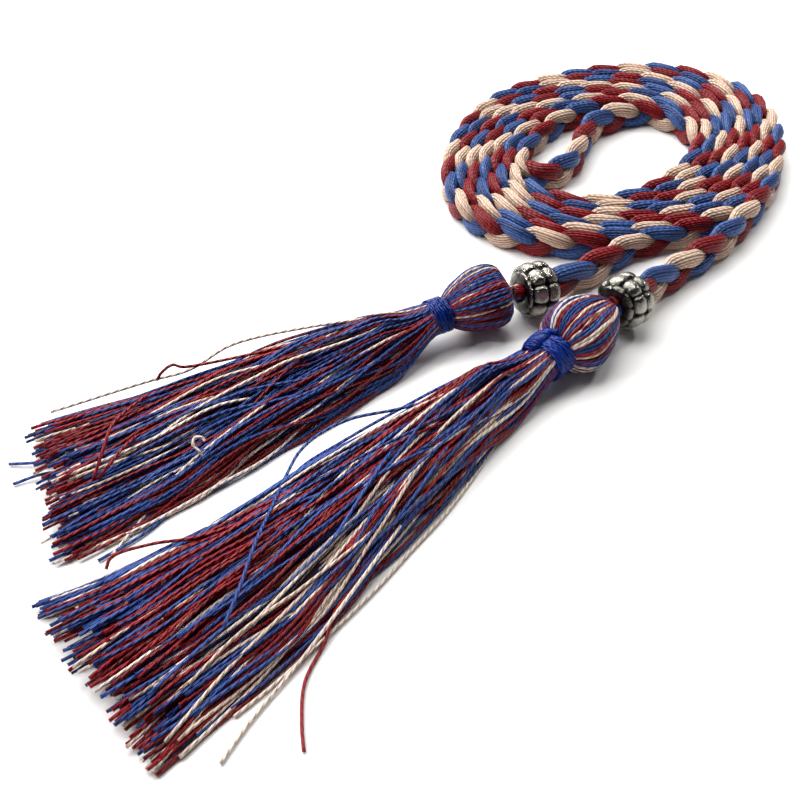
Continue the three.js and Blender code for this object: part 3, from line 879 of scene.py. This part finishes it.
def fringe_ends(p, lock, rng):
    """Where threads end across the fringe and up in it, in shares: with their lock, or crossing."""
    threads, locks = len(lock), lock[-1] + 1
    p_lock = np.array([p[lock == k].mean() for k in range(locks)]) + rng.normal(0, LOCK["shift"], locks)
    p_end = LOCK["own"] * p + LOCK["bunched"] * p_lock[lock] + rng.normal(0, LOCK["spread"], threads)
    p_end = folded(np.clip(p_end, -LOCK["farthest"], LOCK["farthest"]))
    q_end = rng.uniform(-LOCK["height"], LOCK["height"], locks)[lock]
    q_end = q_end + rng.normal(0, LOCK["height_spread"], threads)
    crossing = rng.random(threads) < LOCK["crossing"]
    p_end = np.where(crossing, rng.uniform(*LOCK["crossing_to"], threads), p_end)
    q_end = np.where(crossing, rng.uniform(*LOCK["crossing_over"], threads), q_end)
    return p_end, np.clip(q_end, -1, 1)


def swinging(way, lock, along, size, waves, rng):
    """A way along the fringe with each thread's slow swings, and its lock's that are twice those."""
    steady = smooth(along / along[-1] * FRINGE["steady"])
    way = way + wander(rng, len(lock), along, size, waves) * steady
    return way + wander(rng, lock[-1] + 1, along, 2 * size, waves)[lock] * steady


def fringe_points(t, angle, depth, rng):
    """Threads from under the tie to their tips, in a pile that spreads and sinks to the floor."""
    flat, ahead, beside = fringe_axes(t)
    threads = len(angle)
    lock = np.arange(threads) // LOCK["threads"]
    share = np.linspace(0, 1, int(t["length"] / TASSEL_THREAD["step"]))
    along = share * t["length"]
    p, q = np.cos(angle) * depth, np.sin(angle) * depth
    p_end, q_end = fringe_ends(p, lock, rng)
    ease = smooth(share[None] * rng.uniform(*FRINGE["ease"], (threads, 1)))
    p = swinging(mix(p[:, None], p_end[:, None], ease), lock, along, *FRINGE["across"], rng)
    q = swinging(mix(q[:, None], q_end[:, None], ease), lock, along, *FRINGE["up"], rng)
    p = np.clip(p, -FRINGE["edge"], FRINGE["edge"])
    reach = t["length"] * np.interp(p_end, *np.array(t["reach"]).T)
    short = FRINGE["short_lock"] * rng.random(lock[-1] + 1)[lock]
    reach *= 1 - short - FRINGE["short_thread"] * rng.random(threads) ** 2
    out = mix(-t["tie_half"], reach[:, None], share)
    wide, lean, tall = fringe_sizes(t, out / t["length"])
    radius = t["thread"]
    dome = np.sqrt(np.clip(1 - p**2, FRINGE["edge_height"], 1))
    pile = radius + (tall - 2 * radius) * dome * (1 + np.clip(q, -1, 1)) / 2
    bound = on_plan(t["tie"])[2] + t["waist"] * q
    ripples = smooth(out / FRINGE["ripples_by"])
    across = p * wide + lean
    across = across + wander(rng, threads, along, *FRINGE["ripple_across"]) * ripples
    height = mix(bound, pile, smooth(out / FRINGE["spreads_by"]))
    height = height + wander(rng, threads, along, *FRINGE["ripple_up"]) * ripples
    points = flat + ahead * out[:, :, None] + beside * across[:, :, None]
    points[:, :, 2] = np.maximum(height, radius)
    return points


def core(side, t, material):
    """The dark body of painted shade inside a tassel. In the head it leaves out the outline's last two
    points.
    """
    angle = TURN * np.arange(CORE["sides"]) / CORE["sides"]
    rings = []
    for u, r in t["outline"][-3::-1]:
        radius = max(r * t["bulb"] * CORE["head"] - CORE["inset"], CORE["thinnest"])
        rings.append(round_head(t, head_reach(t, u), radius, angle))
    flat, ahead, beside = fringe_axes(t)
    low, high = CORE["reach"]
    for share in np.linspace(low, high, CORE["rings"]):
        out = share * t["length"]
        wide, lean, tall = fringe_sizes(t, share)
        across = wide * CORE["wide"] * np.cos(angle) + lean
        bound = on_plan(t["tie"])[2] + CORE["waist"] * t["waist"] * np.sin(angle)
        pile = CORE["lift"] + tall * CORE["tall"] * (1 + np.sin(angle)) / 2
        ring = flat + ahead * out + beside * across[:, None]
        ring[:, 2] = mix(bound, pile, smooth(out / FRINGE["spreads_by"]))
        rings.append(ring)
    piece = add_mesh("tassel_shade_core_" + side, [loft(np.array(rings))], material)
    settle(piece, "tassel_" + side)


def stray_threads(side, t, colour):
    """The single threads that part from the fringe, as the photograph shows them."""
    flat, ahead, beside = fringe_axes(t)
    groups = []
    for places in STRAYS.get((side, colour), []):
        out, across, height = np.array(places).T[:, :, None]
        points = smooth_curve(flat + ahead * out + beside * across + UP * height, STRAY["per"])
        points[:, 2] = np.maximum(points[:, 2], t["thread"])
        groups.append(tube(points, t["thread"], TASSEL_THREAD["sides"], STRAY["tone"]))
    return groups


def tassel(side, t, materials, rng):
    """The loose threads of one tassel, a mesh for each colour, over a dark core of painted shade."""
    count = t["threads"]
    jitter = TASSEL_THREAD["jitter"]
    angle = TURN * (np.arange(count) + rng.uniform(-jitter, jitter, count)) / count
    outer = np.arange(count) % TASSEL_THREAD["outer"] == 0
    depth = np.where(outer, 1.0, rng.uniform(*TASSEL_THREAD["depths"], count))
    colours = thread_colours(rng, t)
    head = head_points(t, angle, mix(HEAD["deepest"], 1.0, depth), rng)
    fringe = fringe_points(t, angle, depth, rng)
    size = t["thread"] * rng.uniform(*TASSEL_THREAD["sizes"], (count, 1))
    paths = np.concatenate([head, fringe], 1)
    paths[:, :, 2] = np.maximum(paths[:, :, 2], size)
    radii = np.broadcast_to(size, paths.shape[:2])
    tones = rng.uniform(0, 1, count)
    for colour in t["shares"]:
        chosen = colours == colour
        made = tubes(paths[chosen], radii[chosen], TASSEL_THREAD["sides"], tones[chosen])
        groups = [made, *stray_threads(side, t, colour)]
        piece = add_mesh(f"{side}_tassel_{colour}", groups, materials[colour])
        settle(piece, "tassel_" + side)
    core(side, t, materials["core"])


def wraps(t, rng, turns, radius, travel, tilt):
    """Thread that winds round a tassel between two places along the tie, a little unevenly."""
    angle = np.linspace(0, turns * TURN, int(turns * TIE_THREAD["per_turn"])) + rng.uniform(0, TURN)
    along = np.linspace(*travel, len(angle))
    along = along + tilt[0] * np.sin(angle + tilt[1])
    along = along + wander(rng, 1, angle, *TIE_THREAD["along"])[0]
    out = radius + wander(rng, 1, angle, *TIE_THREAD["out"])[0]
    return round_head(t, along, out, angle)


def knot(t, rng):
    """The knot of a tie: thread wound into a barrel that lies on the side of it."""
    place, ahead, beside, over = head_axes(t)
    k = t["knot"]
    out = beside * cos(k["turn"]) + over * sin(k["turn"])
    aside = np.cross(ahead, out)
    turns = 2 * k["half"] / (KNOT["pitch"] * TIE_THREAD["radius"])
    angle = np.linspace(0, turns * TURN, int(turns * KNOT["per_turn"]))
    travel = np.linspace(-1, 1, len(angle))
    taper, late = KNOT["taper"]
    radius = k["radius"] * np.sqrt(1 - taper * np.abs(travel) ** late)
    radius = radius + wander(rng, 1, angle, *KNOT["uneven"])[0]
    slant, slant_from = KNOT["slant"]
    along = k["along"] + k["half"] * travel + slant * np.sin(angle + slant_from)
    middle = place + out * k["out"] + ahead * along[:, None]
    flat, wide = KNOT["pressed"]
    return middle + spokes(out * flat, aside * wide, angle) * radius[:, None]


def tie_tail(t, rng):
    """The cut ends of a tie, lying side by side over the head."""
    steps = np.linspace(0, 1, TAIL["points"])
    wave, waves = TAIL["wave"]
    threads = []
    for i in range(TAIL["threads"]):
        spread = i / (TAIL["threads"] - 1) - 0.5
        length = TAIL["length"] * rng.uniform(*TAIL["lengths"])
        along = t["tie_half"] * TAIL["start"] + steps * length
        out = t["tie_radius"] + TAIL["rise"] * steps + TAIL["loose"] * rng.random()
        angle = TAIL["angle"] + spread * mix(*TAIL["fan"], steps)
        threads.append(round_head(t, along, out, angle + wave * np.sin(waves * steps + i)))
    return threads


def tie(side, t, material, rng):
    """The fine thread wound round a tassel: close layers, bundles across them, and a knot."""
    edge = t["tie_half"] - TIE_THREAD["radius"]
    turns = 2 * edge / (TIE_THREAD["pitch"] * TIE_THREAD["radius"])
    paths = []
    for inset in TIE_THREAD["layers"]:
        paths.append(wraps(t, rng, turns, t["tie_radius"] - inset, (-edge, edge), (0, 0)))
    for middle, width, tilt in BUNDLES:
        travel = (edge * (middle - width), edge * (middle + width))
        paths.append(wraps(t, rng, turns * width, t["tie_radius"] - TIE_THREAD["bundles"], travel, tilt))
    if "knot" in t:
        paths.append(knot(t, rng))
        paths.extend(tie_tail(t, rng))
    groups = []
    for path in paths:
        tone = rng.uniform(*TIE_THREAD["tones"])
        groups.append(tube(path, TIE_THREAD["radius"], TIE_THREAD["sides"], tone))
    groups.extend(stray_threads(side, t, "tie"))
    piece = add_mesh("wound_tie_" + side, groups, material)
    settle(piece, "tie_" + side)


def make_camera():
    """The photograph's viewpoint."""
    data = bpy.data.cameras.new("camera")
    data.lens = CAMERA["lens"]
    data.sensor_width = CAMERA["sensor"]
    data.clip_start = 0.01
    camera = add_object("camera", data)
    camera.location = on_plan(CAMERA["place"]) * MM
    camera.rotation_euler = (radians(90 - CAMERA["down"]), 0, 0)
    bpy.context.scene.camera = camera


def area_light(name, place, size, power):
    """A round light that points at the belt."""
    data = bpy.data.lights.new(name, "AREA")
    data.shape = "DISK"
    data.size = size
    data.energy = power
    data.color = LIGHT_COLOUR
    light = add_object(name, data)
    light.location = place
    light.rotation_euler = (-Vector(place)).to_track_quat("-Z", "Y").to_euler()


def make_floor():
    """A white floor."""
    half, grey = FLOOR["half"], FLOOR["grey"]
    material = material_nodes("white_floor").finish(Base_Color=(grey, grey, grey, 1), Roughness=0.7)
    corners = [(-half, -half, 0), (half, -half, 0), (half, half, 0), (-half, half, 0)]
    square = {"corners": np.array(corners), "faces": [(np.arange(4)[None], None)]}
    add_mesh("floor", [square], material)


def make_surround():
    """White light from all round, whose strength goes with how high it comes from."""
    n = Nodes(bpy.data.worlds.new("surround"), "Background")
    height = n.add("SeparateXYZ", {0: n.add("TexCoord").outputs["Generated"]}).outputs[2]
    strength = n.add("MapRange", {"Value": height, **SKY}).outputs[0]
    bpy.context.scene.world = n.finish(Strength=strength, Color=(1, 1, 1, 1))


def make_studio():
    """The floor, the surround and the lights."""
    make_floor()
    make_surround()
    for name, (place, size, power) in LIGHTS.items():
        area_light(name, place, size, power)
    bpy.context.scene.view_settings.view_transform = "Standard"


def main():
    make_camera()
    materials = make_materials()
    route = make_route()
    rng = np.random.default_rng(SEED)
    for colour, name in enumerate(STRANDS):
        strand(route, colour, name, materials[name + "_skin"], rng)
    for side in TASSELS:
        bead(route, side, materials["bead"])
    for side, t in TASSELS.items():
        tassel(side, t, materials, rng)
        tie(side, t, materials["tie"], rng)
    make_studio()


main()
